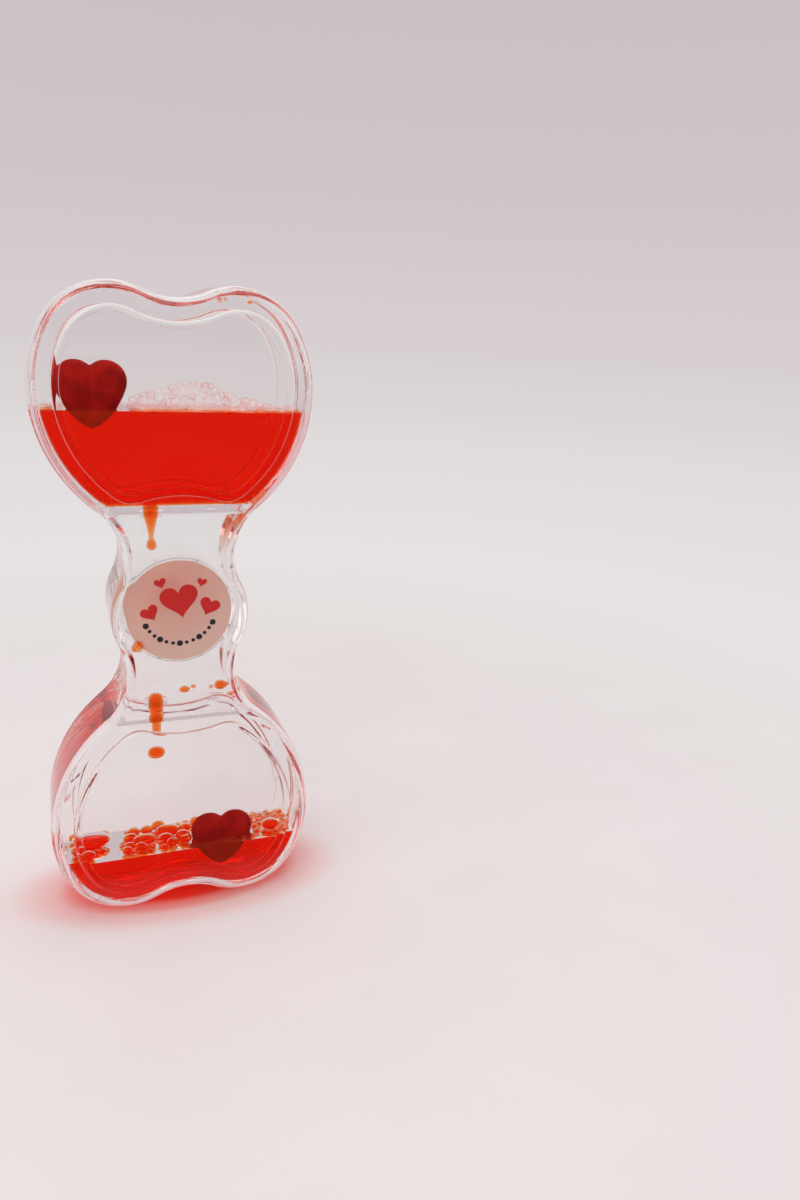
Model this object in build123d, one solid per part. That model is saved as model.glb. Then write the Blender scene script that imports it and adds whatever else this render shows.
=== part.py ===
from build123d import *
from math import atan2, cos, degrees, hypot, sin, sqrt, radians
import os

# Liquid motion timer: two heart-shaped oil chambers joined by a round wheel
# chamber, moulded in clear plastic as two half shells that are welded at the
# middle plane.  Red water drips from the upper heart through a partition onto
# a small drip wheel, and through a second partition into the lower heart.  A
# red heart floats in each chamber.
#
# Millimetres.  X is width, -Y is the front, +Z is up.  The origin is the
# middle of the base.  Outlines are chains of circles that run smoothly into
# each other, drawn in (x, z) about the middle of the wheel.

# ---- body outline, half of the heart on the +X side ----
BODY_HEIGHT = 140.0           # over the two rest flats
REST_FLAT_DEPTH = 0.15        # what the flats take off each lobe
NECK_DEPTH = 2.95             # how far the neck draws in from the wheel chamber
NECK_OFFSET = 12.7            # from the wheel's centre to the narrowest place
HEART_HALF_WIDTH = 29.1       # outside, at the widest place
HEART_WIDEST_DROP = 20.95     # from a lobe's top down to the widest place
LOBE_RADIUS = 14.8
SHOULDER_STEP = 1.6           # how far the widest place stands out past a lobe
NOTCH_RADIUS = 14.92          # hollow between the lobes

# ---- body depth and walls ----
BODY_DEPTH = 22.0             # over the flat front and rear faces
EDGE_RADIUS = 2.7             # rounding of the outer edge
WALL = 2.2
WELD_TONGUE_WIDTH = 0.7       # ridge on the front shell's rim
WELD_TONGUE_HEIGHT = 0.6
WELD_CLEARANCE = 0.05

# ---- raised apple-shaped window on each face of each heart ----
WINDOW_INSET = 4.7            # from the outline to the window's edge
WINDOW_RISE = 1.3
WINDOW_EDGE_RADIUS = 1.0
WINDOW_FOOT_RADIUS = 6.0      # lower corners of the window
WINDOW_DIMPLE_RADIUS = 26.0   # hollow lower edge between the corners
WINDOW_DIMPLE_GAP = 2.4       # from the partition to the middle of that edge
WINDOW_WALL = 1.5             # the window's own side wall
WINDOW_INNER_RADIUS = 0.5

# ---- partitions ----
PARTITION_OFFSET = 22.5       # from the wheel's centre to the near face
PARTITION_THICKNESS = 2.0
PARTITION_SEAT = 0.5          # how deep the plate sits in the shells' groove
DRIP_HOLE_X = -5.4
DRIP_HOLE_RADIUS = 1.85
NOZZLE_WALL = 0.8
NOZZLE_LENGTH = 1.4
NOZZLE_TIP_WALL = 0.5
RETURN_HOLE_X = 7.6           # where the clear oil climbs back
RETURN_HOLE_RADIUS = 1.3

# ---- drip wheel ----
WHEEL_RADIUS = 12.0           # its two discs
WHEEL_WIDTH = 6.0
DISC_THICKNESS = 0.8
PADDLE_COUNT = 8
PADDLE_REACH = 0.1            # past the discs
PADDLE_GAP = 0.5              # from a paddle's tip to the chamber's wall
PADDLE_THICKNESS = 0.8
PADDLE_BOW = 1.5
HUB_RADIUS = 3.0
AXLE_RADIUS = 1.0
AXLE_CLEARANCE = 0.05
AXLE_HEAD_RADIUS = 1.8
AXLE_HEAD_THICKNESS = 0.7
HEAD_CLEARANCE = 0.15
BOSS_WALL = 1.7               # around the axle's bore in the rear shell
BOSS_FILLET = 1.0
BOSS_GAP = 0.3                # from the boss to the rear label
AXLE_GRIP_BACK = 1.0          # plastic left behind the axle's end
LABEL_THICKNESS = 0.2
LABEL_MARGIN = 0.8            # from the disc's rim to the label's rim

# ---- filling holes in the top wall ----
FILL_PLUG_RADIUS = 3.7
VENT_PLUG_RADIUS = 2.1
PLUG_OUTSET = 0.3             # from a lobe's top outwards to a plug's axis
PLUG_GLUE_GAP = 0.04
PLUG_INSIDE = 0.4             # how far a plug reaches past the wall

# ---- red liquid ----
UPPER_LEVEL_DROP = 26.0       # from the top down to the upper heart's surface
LOWER_LEVEL = 13.3            # height of the surface in the lower heart
LIQUID_GAP = 0.05
DRIP_NECK_RADIUS = 0.9        # thin end of the upper drip
DRIP_BALL_RADIUS = 1.2
DRIP_BALL_DROP = 7.8          # from the partition down to the ball's centre
LOWER_DRIP_RADIUS = 1.1
LOWER_DRIP_LENGTH = 5.4       # below the lower partition

# ---- floating hearts ----
FLOAT_LOBE_RADIUS = 4.2
FLOAT_LOBE_OFFSET = 3.0
FLOAT_HEIGHT = 14.0
FLOAT_TIP_RADIUS = 0.9
FLOAT_SIDE_RADIUS = 17.0
FLOAT_POCKET_GAP = 0.15       # liquid kept clear of the float
UPPER_FLOAT_SIDE = 12.3       # from the heart's widest place to the float's axis
UPPER_FLOAT_FRONT = 0.4       # from the front wall to the float
UPPER_FLOAT_DRAUGHT = 3.7     # from the surface down to the tip
LOWER_FLOAT_SIDE = 20.3
LOWER_FLOAT_FRONT = 1.6
LOWER_FLOAT_DRAUGHT = 8.0

# ---- worked out from the sizes above ----
HALF_DEPTH = BODY_DEPTH / 2
HALF_HEIGHT = BODY_HEIGHT / 2 + REST_FLAT_DEPTH
MIDDLE = BODY_HEIGHT / 2                     # height of the wheel's centre
BULGE_RADIUS = WHEEL_RADIUS + PADDLE_REACH + PADDLE_GAP + WALL
NECK_HALF_WIDTH = BULGE_RADIUS - NECK_DEPTH
HEART_WIDEST = HALF_HEIGHT - HEART_WIDEST_DROP    # above the wheel's centre
LOBE_OFFSET = HEART_HALF_WIDTH - SHOULDER_STEP - LOBE_RADIUS
PLUG_X = LOBE_OFFSET + PLUG_OUTSET
CAVITY_HALF_DEPTH = HALF_DEPTH - WALL
UPPER_FLOOR = MIDDLE + PARTITION_OFFSET + PARTITION_THICKNESS
UPPER_LEVEL = BODY_HEIGHT - UPPER_LEVEL_DROP
FLOAT_REACH = CAVITY_HALF_DEPTH - FLOAT_LOBE_RADIUS    # float against a wall
UPPER_FLOAT = (UPPER_FLOAT_SIDE - HEART_HALF_WIDTH,
               UPPER_FLOAT_FRONT - FLOAT_REACH,
               UPPER_LEVEL - UPPER_FLOAT_DRAUGHT)
LOWER_FLOAT = (HEART_HALF_WIDTH - LOWER_FLOAT_SIDE,
               LOWER_FLOAT_FRONT - FLOAT_REACH,
               LOWER_LEVEL - LOWER_FLOAT_DRAUGHT)
OVERRUN = BODY_DEPTH                         # how far cutting tools run past
UP = Vector(0, 0, 1)
TURN = radians(360)


def mirror_z(shape):
    """The same shape in the lower half."""
    return mirror(shape, about=Plane.XY.offset(MIDDLE))


def mirror_y(shape):
    """The same shape in the rear half."""
    return mirror(shape, about=Plane.XZ)


def touching_circle(ax, az, reach_a, bx, bz, reach_b, side):
    """Centre that lies reach_a from a and reach_b from b, on one side."""
    gap = hypot(bx - ax, bz - az)
    along = (gap ** 2 + reach_a ** 2 - reach_b ** 2) / (2 * gap)
    off = side * sqrt(reach_a ** 2 - along ** 2)
    ux, uz = (bx - ax) / gap, (bz - az) / gap
    return ax + along * ux - off * uz, az + along * uz + off * ux


def smooth_outline(circles, inset=0):
    """Closed face through a chain of touching circles, anticlockwise.

    Each circle is (x, z, radius); a hollow one has a negative radius.  Two
    neighbours touch along the line of their centres, so the outline is
    smooth, and an inset only changes the radii.
    """
    joints = []
    for (ax, az, ar), (bx, bz, br) in zip(circles, circles[1:] + circles[:1]):
        joints.append(atan2((bz - az) / (ar - br), (bx - ax) / (ar - br)))
    edges = []
    for i, (x, z, r) in enumerate(circles):
        sense = 1 if r > 0 else -1
        sweep = sense * ((sense * (joints[i] - joints[i - 1])) % TURN)
        angles = [joints[i - 1] + share * sweep for share in (0, 1 / 2, 1)]
        edges.append(ThreePointArc(*[
            (x + (r - inset) * cos(a), z + (r - inset) * sin(a))
            for a in angles]))
    return make_face(edges)


def mirrored_x(circles):
    """The chain's other half: the same circles on the -X side."""
    return [(-x, z, r) for x, z, r in reversed(circles)]


def body_circles():
    """Right upper quarter's circles, and the notch circle above them."""
    neck = ((NECK_HALF_WIDTH ** 2 + NECK_OFFSET ** 2 - BULGE_RADIUS ** 2)
            / (2 * NECK_DEPTH))
    rise = HEART_WIDEST - NECK_OFFSET
    run = HEART_HALF_WIDTH - NECK_HALF_WIDTH - neck
    side = (run ** 2 + rise ** 2 - neck ** 2) / (2 * (neck + run))
    lobe_z = HALF_HEIGHT - LOBE_RADIUS
    out, up = LOBE_RADIUS + SHOULDER_STEP, lobe_z - HEART_WIDEST
    shoulder = (out ** 2 + up ** 2 - LOBE_RADIUS ** 2) / (2 * SHOULDER_STEP)
    notch_z = lobe_z + sqrt((LOBE_RADIUS + NOTCH_RADIUS) ** 2 - LOBE_OFFSET ** 2)
    quarter = [(NECK_HALF_WIDTH + neck, NECK_OFFSET, -neck),
               (HEART_HALF_WIDTH - side, HEART_WIDEST, side),
               (HEART_HALF_WIDTH - shoulder, HEART_WIDEST, shoulder),
               (LOBE_OFFSET, lobe_z, LOBE_RADIUS)]
    return quarter, (0, notch_z, -NOTCH_RADIUS)


QUARTER, NOTCH = body_circles()
BULGE = (0, 0, BULGE_RADIUS)
UPPER_ARCH = QUARTER + [NOTCH] + mirrored_x(QUARTER)
LOWER_ARCH = [(-x, -z, r) for x, z, r in UPPER_ARCH]
BODY = [BULGE] + UPPER_ARCH + [BULGE] + LOWER_ARCH


def window_outline(inset):
    """The upper heart's raised window, grown in by inset: the body's outline
    above a hollow lower edge, with round corners between the two."""
    edge_z = PARTITION_OFFSET + PARTITION_THICKNESS + WINDOW_DIMPLE_GAP
    below = Pos(0, edge_z - WINDOW_DIMPLE_RADIUS) * Circle(
        WINDOW_DIMPLE_RADIUS + inset)
    pieces = smooth_outline(BODY, WINDOW_INSET + inset) - below
    window = pieces.faces().sort_by(Axis.Y)[-1]
    corners = window.vertices().group_by(Axis.Y)[0]
    return window.fillet_2d(WINDOW_FOOT_RADIUS - inset, corners)


def front_block(face, near, far, edge_radius=0):
    """A face drawn about the wheel, run forwards from near to far."""
    plane = Plane.XZ.offset(near)
    plane.origin += UP * MIDDLE
    block = extrude(plane * face, far - near)
    if edge_radius > 0:
        block = fillet(block.faces().sort_by(Axis.Y)[0].edges(), edge_radius)
    return block


def front_form(inset, depth, edge_radius, window_inset, window_depth,
               window_edge_radius):
    """Front half of the body with its two windows, grown in by inset."""
    form = front_block(smooth_outline(BODY, inset), 0, depth, edge_radius)
    window = front_block(window_outline(window_inset), depth / 2,
                         window_depth, window_edge_radius)
    return form + window + mirror_z(window)


def outer_front():
    form = front_form(0, HALF_DEPTH, EDGE_RADIUS, 0,
                      HALF_DEPTH + WINDOW_RISE, WINDOW_EDGE_RADIUS)
    between_flats = Pos(0, 0, MIDDLE) * Box(
        HEART_HALF_WIDTH * 2 + OVERRUN, BODY_DEPTH + OVERRUN, BODY_HEIGHT)
    return form & between_flats


def cavity_front(gap=0):
    """Room inside the front shell, kept back from its walls by a gap."""
    return front_form(WALL + gap, CAVITY_HALF_DEPTH - gap, EDGE_RADIUS - WALL,
                      WINDOW_WALL + gap, HALF_DEPTH + WINDOW_RISE - WALL - gap,
                      WINDOW_INNER_RADIUS)


def both_halves(front):
    return front + mirror_y(front)


def slab(low, high):
    """Everything between two heights."""
    return Pos(0, 0, (low + high) / 2) * Box(
        HEART_HALF_WIDTH * 2 + OVERRUN, BODY_DEPTH + OVERRUN, high - low)


def upright(radius, low, high, x, top_radius=None):
    """Upright round bar or cone at x on the middle plane."""
    height = high - low
    place = Pos(x, 0, low + height / 2)
    if top_radius is None:
        return place * Cylinder(radius, height)
    return place * Cone(radius, top_radius, height)


def crosswise(radius, near, far):
    """Round bar along Y on the wheel's axis, from near to far."""
    return Pos(0, (near + far) / 2, MIDDLE) * Rot(90, 0, 0) * Cylinder(
        radius, far - near)


# ---- partitions ----
def plate_blank():
    """The upper plate, wide enough to sit in the shells' groove."""
    slice_front = front_block(
        smooth_outline(BODY, WALL - PARTITION_SEAT), 0,
        CAVITY_HALF_DEPTH + PARTITION_SEAT, EDGE_RADIUS - WALL + PARTITION_SEAT)
    return both_halves(slice_front) & slab(UPPER_FLOOR - PARTITION_THICKNESS,
                                           UPPER_FLOOR)


def partition(blank):
    under = UPPER_FLOOR - PARTITION_THICKNESS
    nozzle = upright(DRIP_HOLE_RADIUS + NOZZLE_TIP_WALL, under - NOZZLE_LENGTH,
                     under, DRIP_HOLE_X, DRIP_HOLE_RADIUS + NOZZLE_WALL)
    plate = blank + nozzle
    plate -= upright(DRIP_HOLE_RADIUS, under - OVERRUN, under + OVERRUN,
                     DRIP_HOLE_X)
    return plate - upright(RETURN_HOLE_RADIUS, under - OVERRUN,
                           under + OVERRUN, RETURN_HOLE_X)


# ---- shells ----
BOSS_NEAR = WHEEL_WIDTH / 2 + LABEL_THICKNESS + BOSS_GAP
AXLE_END = HALF_DEPTH - AXLE_GRIP_BACK


def weld_ridge(width, height):
    """Ridge that follows the middle of the shells' rim, into the rear."""
    middle = WALL / 2
    ring = (smooth_outline(BODY, middle - width / 2)
            - smooth_outline(BODY, middle + width / 2))
    return front_block(ring, -height, 0)


def plug_bore(radius, x):
    return upright(radius, BODY_HEIGHT - OVERRUN / 2, BODY_HEIGHT + OVERRUN, x)


def axle_boss():
    """Round boss with a hollow fillet at its root, sunk into the rear wall."""
    side, root = AXLE_RADIUS + BOSS_WALL, CAVITY_HALF_DEPTH
    sunk = root + WALL / 2
    outline = [Line((0, BOSS_NEAR), (side, BOSS_NEAR)),
               Line((side, BOSS_NEAR), (side, root - BOSS_FILLET)),
               ThreePointArc((side, root - BOSS_FILLET),
                             (side + BOSS_FILLET * (1 - sqrt(1 / 2)),
                              root - BOSS_FILLET * (1 - sqrt(1 / 2))),
                             (side + BOSS_FILLET, root)),
               Line((side + BOSS_FILLET, root), (side + BOSS_FILLET, sunk)),
               Line((side + BOSS_FILLET, sunk), (0, sunk)),
               Line((0, sunk), (0, BOSS_NEAR))]
    return Pos(0, 0, MIDDLE) * revolve(make_face(outline), Axis.Y)


def shells(outer, cavity, blank):
    bores = (plug_bore(FILL_PLUG_RADIUS + PLUG_GLUE_GAP, PLUG_X)
             + plug_bore(VENT_PLUG_RADIUS + PLUG_GLUE_GAP, -PLUG_X))
    front = outer - cavity - blank - mirror_z(blank)
    rear = mirror_y(front) + axle_boss()
    rear -= crosswise(AXLE_RADIUS, 0, AXLE_END)
    rear -= weld_ridge(WELD_TONGUE_WIDTH + 2 * WELD_CLEARANCE,
                       WELD_TONGUE_HEIGHT + WELD_CLEARANCE)
    front += weld_ridge(WELD_TONGUE_WIDTH, WELD_TONGUE_HEIGHT)
    return front - bores, rear - bores


# ---- drip wheel: rear disc, hub and paddles, closed by a front disc ----
HUB_FRONT = -WHEEL_WIDTH / 2 + DISC_THICKNESS
HEAD_NEAR = HUB_FRONT + HEAD_CLEARANCE
HEAD_FAR = HEAD_NEAR + AXLE_HEAD_THICKNESS


def paddle():
    """One bowed paddle, drawn from the hub outwards about the wheel."""
    root = (HUB_RADIUS + AXLE_RADIUS) / 2
    tip = WHEEL_RADIUS + PADDLE_REACH
    middle = (root + tip) / 2
    low, high = -PADDLE_THICKNESS / 2, PADDLE_THICKNESS / 2
    return make_face([
        ThreePointArc((root, low), (middle, low + PADDLE_BOW), (tip, low)),
        Line((tip, low), (tip, high)),
        ThreePointArc((tip, high), (middle, high + PADDLE_BOW), (root, high)),
        Line((root, high), (root, low))])


def drip_wheel():
    wheel = crosswise(WHEEL_RADIUS, WHEEL_WIDTH / 2 - DISC_THICKNESS,
                      WHEEL_WIDTH / 2)
    wheel += crosswise(HUB_RADIUS, HUB_FRONT, WHEEL_WIDTH / 2)
    blade = front_block(paddle(), DISC_THICKNESS - WHEEL_WIDTH / 2, -HUB_FRONT)
    for turn in range(PADDLE_COUNT):
        axis = Axis((0, 0, MIDDLE), (0, 1, 0))
        wheel += blade.rotate(axis, (turn + 1 / 2) * 360 / PADDLE_COUNT)
    wheel -= crosswise(AXLE_RADIUS + AXLE_CLEARANCE, HUB_FRONT,
                       WHEEL_WIDTH / 2)
    return wheel - crosswise(AXLE_HEAD_RADIUS + HEAD_CLEARANCE, HUB_FRONT,
                             HEAD_FAR + HEAD_CLEARANCE)


def wheel_cap():
    return crosswise(WHEEL_RADIUS, -WHEEL_WIDTH / 2, HUB_FRONT)


def wheel_axle():
    return (crosswise(AXLE_HEAD_RADIUS, HEAD_NEAR, HEAD_FAR)
            + crosswise(AXLE_RADIUS, HEAD_NEAR, AXLE_END))


def front_label():
    return crosswise(WHEEL_RADIUS - LABEL_MARGIN,
                     -WHEEL_WIDTH / 2 - LABEL_THICKNESS, -WHEEL_WIDTH / 2)


def rear_label():
    disc = crosswise(WHEEL_RADIUS - LABEL_MARGIN, WHEEL_WIDTH / 2,
                     WHEEL_WIDTH / 2 + LABEL_THICKNESS)
    return disc - crosswise(HUB_RADIUS + LABEL_MARGIN, 0, HALF_DEPTH)


# ---- plugs ----
def plug(radius, x, outer):
    """Round plug whose top follows the body, with a shoulder inside."""
    seat = BODY_HEIGHT - WALL - PLUG_INSIDE
    return upright(radius, seat, BODY_HEIGHT + OVERRUN, x) & outer


# ---- floating hearts ----
def float_heart(x, y, tip, grow=0):
    """Puffy heart, tip down: two leaning teardrops, each cut at the middle."""
    lobe_z = FLOAT_HEIGHT - FLOAT_LOBE_RADIUS
    lean = degrees(atan2(FLOAT_LOBE_OFFSET, lobe_z - FLOAT_TIP_RADIUS))
    length = hypot(FLOAT_LOBE_OFFSET, lobe_z - FLOAT_TIP_RADIUS)
    lobe, point = FLOAT_LOBE_RADIUS, FLOAT_TIP_RADIUS
    cx, cz = touching_circle(0, 0, FLOAT_SIDE_RADIUS - point, 0, length,
                             FLOAT_SIDE_RADIUS - lobe, 1)
    chain = [(0, 0, point), (cx, cz, FLOAT_SIDE_RADIUS), (0, length, lobe),
             (-cx, cz, FLOAT_SIDE_RADIUS)]
    half = smooth_outline(chain, -grow)
    half = half & Pos(FLOAT_SIDE_RADIUS / 2, length / 2) * Rectangle(
        FLOAT_SIDE_RADIUS, FLOAT_HEIGHT * 2)
    drop = revolve(Plane.XZ * half, Axis.Z)
    drop = Rot(0, lean, 0) * drop
    right = drop & Pos(FLOAT_HEIGHT, 0, 0) * Box(
        FLOAT_HEIGHT * 2, FLOAT_HEIGHT * 4, FLOAT_HEIGHT * 4)
    heart = right + mirror(right, about=Plane.YZ)
    return Pos(x, y, tip + FLOAT_TIP_RADIUS) * heart


# ---- liquids ----
def upper_drip():
    """Water in the drip hole, the thread below it and the ball at its end."""
    under = UPPER_FLOOR - PARTITION_THICKNESS
    mouth = under - NOZZLE_LENGTH
    ball = under - DRIP_BALL_DROP
    body = upright(DRIP_HOLE_RADIUS - LIQUID_GAP, mouth, UPPER_FLOOR,
                   DRIP_HOLE_X)
    body += upright(DRIP_NECK_RADIUS, ball, mouth, DRIP_HOLE_X,
                    DRIP_HOLE_RADIUS - LIQUID_GAP)
    return body + Pos(DRIP_HOLE_X, 0, ball) * Sphere(DRIP_BALL_RADIUS)


def lower_drip():
    top = MIDDLE - PARTITION_OFFSET + NOZZLE_LENGTH
    under = MIDDLE - PARTITION_OFFSET - PARTITION_THICKNESS
    end = under - LOWER_DRIP_LENGTH + LOWER_DRIP_RADIUS
    body = upright(DRIP_HOLE_RADIUS - LIQUID_GAP, under, top, DRIP_HOLE_X)
    body += upright(LOWER_DRIP_RADIUS, end, under, DRIP_HOLE_X)
    return body + Pos(DRIP_HOLE_X, 0, end) * Sphere(LOWER_DRIP_RADIUS)


def red_liquid(room, low, high, pocket):
    return room & slab(low, high) - pocket


def build():
    outer, cavity, blank = outer_front(), cavity_front(), plate_blank()
    room = both_halves(cavity_front(LIQUID_GAP))
    front_shell, rear_shell = shells(outer, cavity, blank)
    body = both_halves(outer)
    upper_partition = partition(blank)
    upper_pocket = float_heart(*UPPER_FLOAT, grow=FLOAT_POCKET_GAP)
    lower_pocket = float_heart(*LOWER_FLOAT, grow=FLOAT_POCKET_GAP)
    return {
        "front_shell": front_shell,
        "rear_shell": rear_shell,
        "upper_partition": upper_partition,
        "lower_partition": mirror_z(upper_partition),
        "drip_wheel": drip_wheel(),
        "wheel_cap": wheel_cap(),
        "wheel_axle": wheel_axle(),
        "front_label": front_label(),
        "rear_label": rear_label(),
        "fill_plug": plug(FILL_PLUG_RADIUS, PLUG_X, body),
        "vent_plug": plug(VENT_PLUG_RADIUS, -PLUG_X, body),
        "upper_heart": float_heart(*UPPER_FLOAT),
        "lower_heart": float_heart(*LOWER_FLOAT),
        "upper_red_liquid": red_liquid(room, UPPER_FLOOR, UPPER_LEVEL,
                                       upper_pocket),
        "lower_red_liquid": red_liquid(room, 0, LOWER_LEVEL, lower_pocket),
        "upper_drip": upper_drip(),
        "lower_drip": lower_drip(),
    }


os.makedirs("parts", exist_ok=True)
for name, shape in build().items():
    export_step(shape, "parts/" + name + ".step")
    print(name, len(shape.solids()), round(shape.volume, 1))
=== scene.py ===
# Looks of the liquid motion timer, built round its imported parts.
# Metres in the model's own frame; the outlines below are drawn in millimetres.
import bmesh
import bpy
import math
import random
from mathutils import Matrix, Vector, kdtree, noise


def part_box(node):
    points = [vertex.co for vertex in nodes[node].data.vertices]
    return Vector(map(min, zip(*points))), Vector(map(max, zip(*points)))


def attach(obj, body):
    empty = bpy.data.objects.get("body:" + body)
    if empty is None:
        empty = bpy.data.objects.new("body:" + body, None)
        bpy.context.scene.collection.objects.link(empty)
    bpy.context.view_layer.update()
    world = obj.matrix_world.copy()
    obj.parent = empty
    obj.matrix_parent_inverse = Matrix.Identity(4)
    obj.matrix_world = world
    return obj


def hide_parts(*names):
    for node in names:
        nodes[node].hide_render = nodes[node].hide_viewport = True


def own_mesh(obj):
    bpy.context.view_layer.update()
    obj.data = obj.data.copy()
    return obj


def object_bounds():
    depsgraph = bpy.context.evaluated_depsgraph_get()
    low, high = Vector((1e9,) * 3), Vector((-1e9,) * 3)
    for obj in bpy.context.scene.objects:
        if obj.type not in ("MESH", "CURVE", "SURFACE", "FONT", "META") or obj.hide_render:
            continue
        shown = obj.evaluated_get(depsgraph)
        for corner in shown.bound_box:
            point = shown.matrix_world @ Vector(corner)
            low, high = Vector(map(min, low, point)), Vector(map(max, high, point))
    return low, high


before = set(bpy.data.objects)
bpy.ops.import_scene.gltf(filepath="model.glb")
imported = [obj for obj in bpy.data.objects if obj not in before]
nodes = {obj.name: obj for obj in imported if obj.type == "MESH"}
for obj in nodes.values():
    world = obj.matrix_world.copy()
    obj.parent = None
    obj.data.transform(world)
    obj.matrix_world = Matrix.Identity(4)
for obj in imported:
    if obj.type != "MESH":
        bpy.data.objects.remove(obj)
cad_low, cad_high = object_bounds()

MM = 0.001
TURN = 2 * math.pi

# Camera, from the photograph
CAMERA_PLACE = (-25.78, -212.88, 134.1)      # millimetres
CAMERA_RIGHT = (0.930, -0.3644, 0.0471)
CAMERA_UP = (0.0510, 0.2551, 0.9656)
PHOTO_SIZE = (800, 1200)
FOCAL_PIXELS = 947.7
MIDDLE_PIXEL = (423.8, 575.9)
SENSOR = 36.0

# Sizes of the body, in millimetres
WALL = 2.2
EDGE_RADIUS = 2.7
NECK_DEPTH = 2.95
NECK_OFFSET = 12.7
HEART_WIDEST_DROP = 20.95
LOBE_RADIUS = 14.8
SHOULDER_STEP = 1.6
NOTCH_RADIUS = 14.92
REST_FLAT_DEPTH = 0.15
BULGE_RADIUS = 14.8
WINDOW_INSET = 4.7
WINDOW_RISE = 1.3
WINDOW_FOOT_RADIUS = 6.0
WINDOW_DIMPLE_RADIUS = 26.0
WINDOW_DIMPLE_GAP = 2.4
WINDOW_WALL = 1.5
WINDOW_INNER_RADIUS = 0.5
HALF_DEPTH = 11.0
PARTITION_THICKNESS = 2.0
LIQUID_GAP = 0.05
WELD_DEPTH = 0.66              # of the ridge and its groove, from the middle plane
DRIP_HOLE_X = -5.4
LABEL_THICKNESS = 0.2

BODY_HEIGHT = (cad_high.z - cad_low.z) / MM
MIDDLE = BODY_HEIGHT / 2
HEART_HALF_WIDTH = cad_high.x / MM
UPPER_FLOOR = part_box("upper_partition")[1].z / MM
UPPER_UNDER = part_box("upper_partition")[0].z / MM
LOWER_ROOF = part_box("lower_partition")[0].z / MM
LOWER_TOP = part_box("lower_partition")[1].z / MM
UPPER_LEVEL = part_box("upper_red_liquid")[1].z / MM
LOWER_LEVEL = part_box("lower_red_liquid")[1].z / MM
WHEEL_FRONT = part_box("wheel_cap")[0].y / MM


# Small helpers
def link(obj):
    bpy.context.scene.collection.objects.link(obj)
    return obj


def piece_from(name, bm, material, smooth=True):
    """A mesh object from a bmesh drawn in millimetres."""
    bmesh.ops.scale(bm, vec=(MM, MM, MM), verts=bm.verts)
    mesh = bpy.data.meshes.new(name)
    bm.to_mesh(mesh)
    bm.free()
    mesh.polygons.foreach_set("use_smooth", [smooth] * len(mesh.polygons))
    if material:
        mesh.materials.append(material)
    return link(bpy.data.objects.new(name, mesh))


def applied(obj):
    """The object with its modifiers applied."""
    graph = bpy.context.evaluated_depsgraph_get()
    mesh = bpy.data.meshes.new_from_object(obj.evaluated_get(graph))
    obj.modifiers.clear()
    obj.data = mesh
    return obj


# Outlines
FINE_STEP = math.radians(1)


def joint_angles(circles):
    """Angles at which each arc of a chain meets the next."""
    return [math.atan2((bz - az) / (ar - br), (bx - ax) / (ar - br))
            for (ax, az, ar), (bx, bz, br)
            in zip(circles, circles[1:] + circles[:1])]


def outline(circles, inset=0.0, step=math.radians(3)):
    """Points (x, z) along a chain of touching circles, about the wheel."""
    joints = joint_angles(circles)
    points = []
    for i, (x, z, r) in enumerate(circles):
        sense = 1 if r > 0 else -1
        sweep = sense * ((sense * (joints[i] - joints[i - 1])) % TURN)
        count = max(2, math.ceil(abs(sweep) / step))
        for k in range(count):
            a = joints[i - 1] + sweep * k / count
            points.append((x + (r - inset) * math.cos(a),
                           z + (r - inset) * math.sin(a)))
    return points


def mirrored_x(circles):
    return [(-x, z, r) for x, z, r in reversed(circles)]


def mirrored_z(circles):
    return [(x, -z, r) for x, z, r in reversed(circles)]


def body_circles():
    """Arcs round the upper heart's right half, and the one in its notch."""
    half_height = MIDDLE + REST_FLAT_DEPTH
    widest = half_height - HEART_WIDEST_DROP
    neck_half = BULGE_RADIUS - NECK_DEPTH
    neck = (neck_half ** 2 + NECK_OFFSET ** 2 - BULGE_RADIUS ** 2) / (2 * NECK_DEPTH)
    rise = widest - NECK_OFFSET
    run = HEART_HALF_WIDTH - neck_half - neck
    side = (run ** 2 + rise ** 2 - neck ** 2) / (2 * (neck + run))
    lobe_x = HEART_HALF_WIDTH - SHOULDER_STEP - LOBE_RADIUS
    lobe_z = half_height - LOBE_RADIUS
    out, up = LOBE_RADIUS + SHOULDER_STEP, lobe_z - widest
    shoulder = (out ** 2 + up ** 2 - LOBE_RADIUS ** 2) / (2 * SHOULDER_STEP)
    notch_z = lobe_z + math.sqrt((LOBE_RADIUS + NOTCH_RADIUS) ** 2 - lobe_x ** 2)
    quarter = [(neck_half + neck, NECK_OFFSET, -neck),
               (HEART_HALF_WIDTH - side, widest, side),
               (HEART_HALF_WIDTH - shoulder, widest, shoulder),
               (lobe_x, lobe_z, LOBE_RADIUS)]
    return quarter, (0, notch_z, -NOTCH_RADIUS)


QUARTER, NOTCH = body_circles()
BULGE = (0, 0, BULGE_RADIUS)
ARCH = QUARTER + [NOTCH] + mirrored_x(QUARTER)
BODY = [BULGE] + ARCH + [BULGE] + [(-x, -z, r) for x, z, r in ARCH]


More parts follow.
